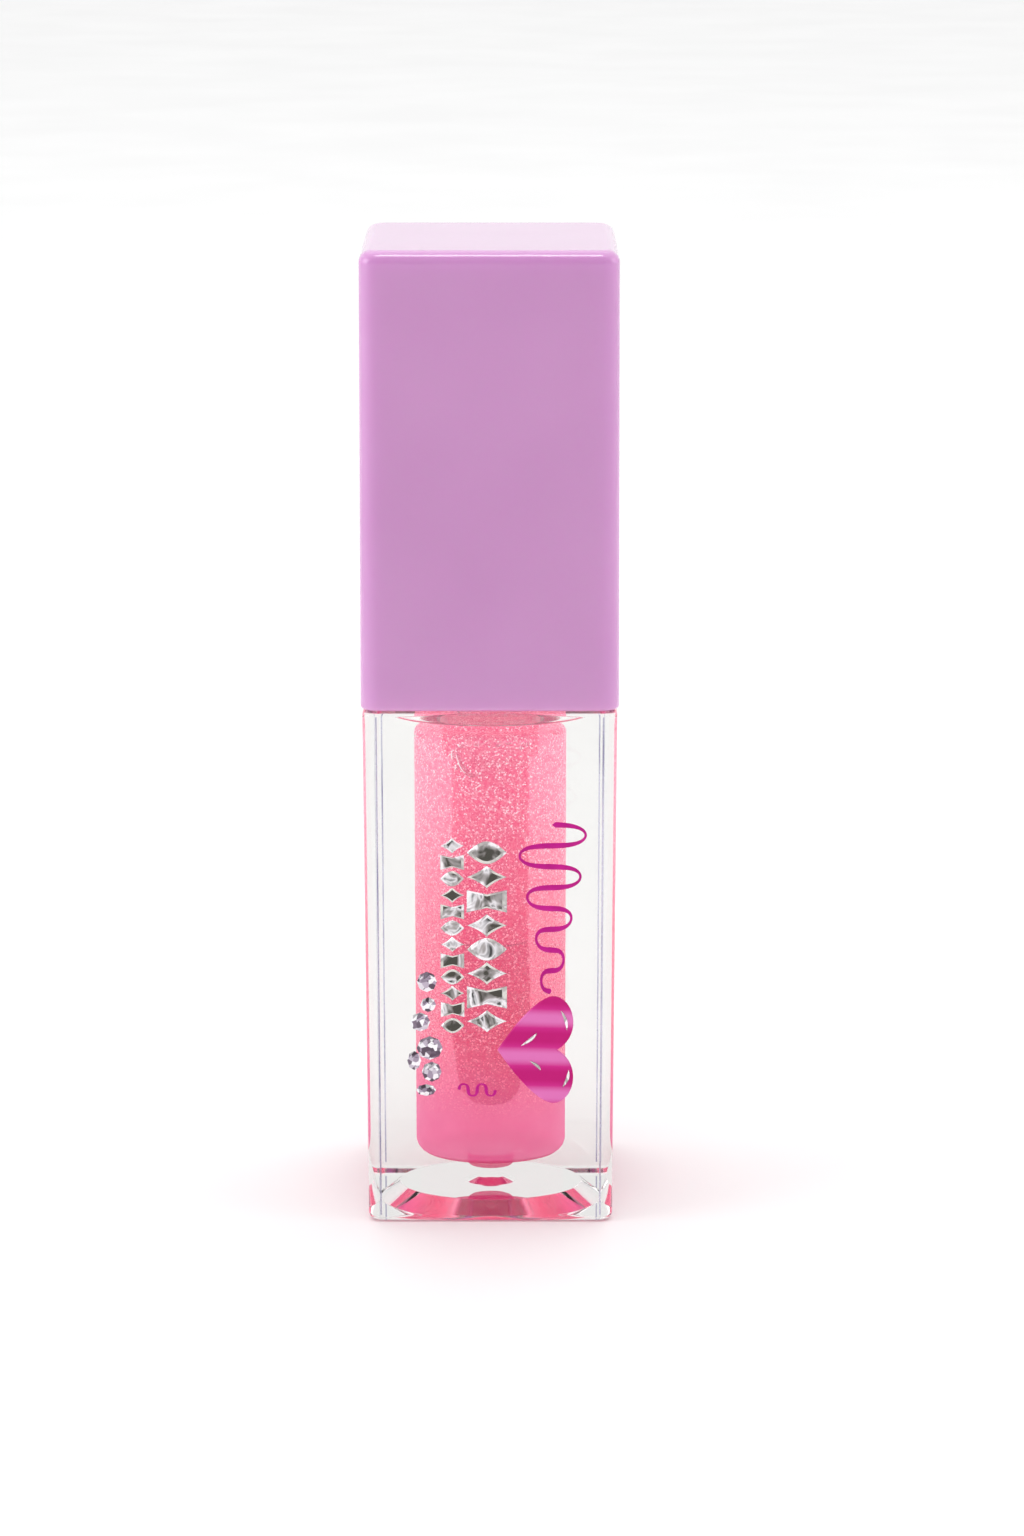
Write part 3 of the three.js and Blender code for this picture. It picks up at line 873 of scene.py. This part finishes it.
def petal_star(cx, cz, wide, tall, waist=0.75, steps=10):
    """A four-pointed star with hollow sides."""
    corners = [(wide / 2, 0), (0, tall / 2), (-wide / 2, 0), (0, -tall / 2)]
    out = []
    for k in range(4):
        a, b = Vector(corners[k]), Vector(corners[(k + 1) % 4])
        pull = (a + b) / 2 * waist
        for i in range(steps):
            t = i / steps
            p = a * (1 - t) ** 2 + pull * 2 * t * (1 - t) + b * t ** 2
            out.append((cx + p.x, cz + p.y))
    return out


def leaf(cx, cz, wide, tall, steps=14):
    """A pointed oval that runs across the band."""
    out = []
    for k in range(2 * steps):
        t = (k % steps) / steps
        side = 1 if k < steps else -1
        x = side * (0.5 - t) * wide
        out.append((cx + x, cz + side * math.sin(math.pi * t) * tall / 2))
    return out


def bar(cx, cz, wide, tall):
    """A bar across the band, waisted in its middle."""
    w, h = wide / 2, tall / 2
    return [(cx + w, cz - h), (cx + w, cz + h), (cx, cz + h * 0.6), (cx - w, cz + h),
            (cx - w, cz - h), (cx, cz - h * 0.6)]


def frieze(node, motifs):
    """Motifs in turn down a foil band, as a border and a darker heart for each."""
    low, high = box_mm(node)
    cx, wide = (low.x + high.x) / 2, high.x - low.x
    step = (high.z - low.z) / len(motifs)
    borders, hearts = [], []
    for k, motif in enumerate(motifs):
        cz = high.z - (k + 0.5) * step
        borders.append(motif(cx, cz, wide, step * 0.94))
        hearts.append(motif(cx, cz, wide * 0.76, step * 0.68))
    return borders, hearts


def make_foil(bright, dark):
    wide_row = [leaf, petal_star, bar, petal_star, leaf, petal_star, bar, petal_star]
    narrow_row = [petal_star, bar, leaf] * 4
    for node, motifs in (("foil_band_wide", wide_row), ("foil_band_narrow", narrow_row)):
        borders, hearts = frieze(node, motifs)
        stands_for(plate(node + "_border", borders, bright), "bottle", "silver_foil", node)
        stands_for(plate(node + "_heart", hearts, dark, 0.08, 0.11, 0.015), "bottle",
                   "silver_foil")


def brush_stroke(name, path_at, width_at, steps, material, out=0.05):
    """A flattened, tapered stroke along a path on the front face."""
    rings = [[on_face(*path_at(0), out)]]
    for k in range(1, steps):
        t = k / steps
        here = Vector(path_at(t))
        along = (Vector(path_at(t + 0.5 / steps)) - Vector(path_at(t - 0.5 / steps))).normalized()
        side = Vector((-along.y, along.x)) * width_at(t) / 2
        ring = []
        for a in even_angles(10):
            p = here + side * math.cos(a)
            ring.append(on_face(p.x, p.y, out + 0.03 * math.sin(a)))
        rings.append(ring)
    rings.append([on_face(*path_at(1), out)])
    return skin(name, rings, material)


def wave(phase, swing, bend):
    return swing * math.sin(phase), bend * math.sin(2 * phase)


def flourish_at(t):
    across, along = wave(8 * math.pi * t, 1.75 + 0.95 * math.cos(math.pi * t), 0.25)
    return (4.9 + across, 33.4 - 13.8 * t + along)


def ripple_at(t):
    across, along = wave(4 * math.pi * t, 0.5, 0.1)
    return (-2.5 + 2.9 * t - along, 11.3 + across)


def heart_outline(cx, cz, wide, tall, steps=16):
    """A heart lying on its side, its point towards -X, from four Bezier curves."""
    w, h = wide / 2, tall / 2
    curves = [
        [(-w, 0), (-w * 0.5, -h * 0.55), (w * 0.1, -h), (w * 0.45, -h)],
        [(w * 0.45, -h), (w * 0.95, -h), (w * 1.25, -h * 0.3), (w * 0.55, 0)],
        [(w * 0.55, 0), (w * 1.25, h * 0.3), (w * 0.95, h), (w * 0.45, h)],
        [(w * 0.45, h), (w * 0.1, h), (-w * 0.5, h * 0.55), (-w, 0)],
    ]
    out = []
    for a, b, c, d in curves:
        for i in range(steps):
            t = i / steps
            x, z = [(1 - t) ** 3 * p + 3 * t * (1 - t) ** 2 * q + 3 * t * t * (1 - t) * r + t ** 3 * s
                    for p, q, r, s in zip(a, b, c, d)]
            out.append((cx + x, cz + z))
    return out


# Across, up, length and lean of each highlight on the heart.
GLINTS = [(5.9, 17.2, 1.7, -0.5), (6.05, 12.3, 1.5, 0.5), (3.1, 15.6, 1.1, 1.3), (3.6, 13.4, 0.8, -0.9)]


def pen_width(thin, more, waves):
    """A width that swells and thins along a stroke of so many waves."""
    return lambda t: thin + more * math.cos(2 * math.pi * waves * t) ** 2


def make_glint(name, across, up, long, lean, material):
    """A short curved highlight that lies on the heart."""
    def at(t):
        return across + lean * (t - 0.5) + 0.15 * math.sin(math.pi * t), up + long * (t - 0.5)

    def width_at(t):
        return 0.22 * math.sin(math.pi * t) + 0.02

    stands_for(brush_stroke(name, at, width_at, 16, material, 0.17), "bottle", "silver_foil")


def make_heart(satin):
    low, high = box_mm("heart_print")
    wide, tall = 6.2, 9.0
    outline = heart_outline((low.x + high.x) / 2, (low.z + high.z) / 2, wide, tall)
    heart = plate("satin_heart", [outline], satin, 0.02, 0.14, 0.08)
    stands_for(heart, "bottle", "magenta_ink", "heart_print")


def make_artwork(ink, satin, bright, gem):
    fine = brush_stroke("flourish_stroke", flourish_at, pen_width(0.2, 0.26, 4), 240, ink)
    stands_for(fine, "bottle", "magenta_ink", "flourish_print")
    small = brush_stroke("ripple_stroke", ripple_at, pen_width(0.14, 0.14, 2), 140, ink)
    stands_for(small, "bottle", "magenta_ink", "ripple_print")
    make_heart(satin)
    for k, glint in enumerate(GLINTS):
        make_glint("heart_glint_%d" % (k + 1), *glint, bright)
    for k in range(1, 8):
        make_gem("gem_%d" % k, gem)


def make_gem(node, material):
    """A low faceted stone."""
    low, high = box_mm(node)
    cx, cz = (low.x + high.x) / 2, (low.z + high.z) / 2
    wide, tall = (high.x - low.x) / 2, (high.z - low.z) / 2
    sides = 8
    levels = ((0.96, 0.02, 0), (1.0, 0.06, 0), (0.8, 0.13, 0.5), (0.45, 0.19, 1))
    rings = [[on_face(cx, cz, 0.02)]]
    for reach, out, twist in levels:
        ring = []
        for i in range(sides):
            a = (i + twist) / sides * 2 * math.pi
            ring.append(on_face(cx + wide * reach * math.cos(a), cz + tall * reach * math.sin(a), out))
        rings.append(ring)
    rings.append([on_face(cx, cz, 0.2)])
    points, faces = skin_faces(rings)
    cut = []
    for face in faces:
        cut += [face] if len(face) == 3 else [face[:3], [face[0], face[2], face[3]]]
    piece = mesh_object(node + "_facets", points, cut, material, smooth=False)
    return stands_for(piece, "bottle", "rhinestone", node)


# ---------------------------------------------------------------- the studio


def make_camera():
    data = bpy.data.cameras.new("camera")
    data.sensor_width = 36
    data.lens = 96.05
    data.clip_start, data.clip_end = 0.01, 100
    camera = bpy.data.objects.new("camera", data)
    pitch_down = 14.21
    camera.location = Vector((1.75, -323.1, 117.3)) * MM
    camera.rotation_euler = (math.radians(90 - pitch_down), 0, 0)
    bpy.context.scene.collection.objects.link(camera)
    bpy.context.scene.camera = camera


def soft_light(name, size, power, place):
    """A square area light in metres and watts that looks at the middle of the object."""
    data = bpy.data.lights.new(name, "AREA")
    data.size = size
    data.energy = power
    lamp = bpy.data.objects.new(name, data)
    lamp.location = place
    middle = (CAD_BOX[0] + CAD_BOX[1]) / 2
    lamp.rotation_euler = (middle - Vector(place)).to_track_quat("-Z", "Y").to_euler()
    bpy.context.scene.collection.objects.link(lamp)


FLOOR_GAP = 0.03    # a hair of air under the foot, in millimetres
FLOOR_REACH = 3000.0


class Sky:
    """A soft surround: bright behind the object, dimmer on the near side, lighter overhead."""

    def __init__(self, tree):
        self.tree = tree
        self.split = tree.nodes.new("ShaderNodeSeparateXYZ")
        coords = tree.nodes.new("ShaderNodeTexCoord")
        tree.links.new(coords.outputs["Generated"], self.split.inputs[0])

    def span(self, source, from_min, from_max, to_min, to_max):
        made = self.tree.nodes.new("ShaderNodeMapRange")
        made.interpolation_type = "SMOOTHSTEP"
        for key, value in (("From Min", from_min), ("From Max", from_max), ("To Min", to_min),
                           ("To Max", to_max)):
            made.inputs[key].default_value = value
        self.tree.links.new(source, made.inputs["Value"])
        return made.outputs[0]

    def paint(self, front, back, overhead):
        level = self.span(self.split.outputs["Y"], -0.6, -0.05, front, back)
        lift = self.span(self.split.outputs["Z"], 0.2, 1.0, 0, overhead)
        total = self.tree.nodes.new("ShaderNodeMath")
        self.tree.links.new(level, total.inputs[0])
        self.tree.links.new(lift, total.inputs[1])
        dome = self.tree.nodes["Background"]
        dome.inputs["Color"].default_value = (1, 1, 1, 1)
        self.tree.links.new(total.outputs[0], dome.inputs["Strength"])


def make_studio():
    world = bpy.data.worlds.new("studio")
    bpy.context.scene.world = world
    world.use_nodes = True
    sky = Sky(world.node_tree)
    sky.paint(front=0.44, back=1.0, overhead=0.18)
    corners = [Vector((x * FLOOR_REACH, y * FLOOR_REACH, -FLOOR_GAP))
               for x, y in ((-1, -1), (1, -1), (1, 1), (-1, 1))]
    floor = mesh_object("floor", corners, [(0, 1, 2, 3)], white_floor(), smooth=False)
    soft_light("left_box", 0.5, 1.5, (-0.7, -0.2, 0.35))
    soft_light("right_box", 0.5, 0.6, (0.7, -0.1, 0.35))
    soft_light("strip_box", 0.16, 0.5, (0.0, -0.16, 0.75))
    soft_light("top_box", 0.6, 0.5, (0.0, 0.35, 0.8))
    bpy.context.scene.view_settings.view_transform = "Standard"


# ---------------------------------------------------------------- build

make_camera()
make_studio()
# The bottle's dark edge lines are painted shade.
make_bottle(clear_plastic(), wetted_wall(), painted_edge_line())
make_oil(glitter_oil())
make_cap(lilac_plastic())
make_stem(stem_plastic())
make_tip(flock())
make_foil(silver_foil("foil_bright", 222, 255), silver_foil("foil_dark", 74, 236))
make_artwork(magenta_ink(), satin_magenta(), silver_foil("foil_glint", 230, 255), rhinestone())
make_flakes(glitter_flake())
air = air_bubble()
make_bubbles(air)
make_smear(air)
make_wiper(wiper_plastic())
make_gasket(foam())
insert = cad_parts["cap_insert"].data.materials
insert.clear()
insert.append(milky_plastic())
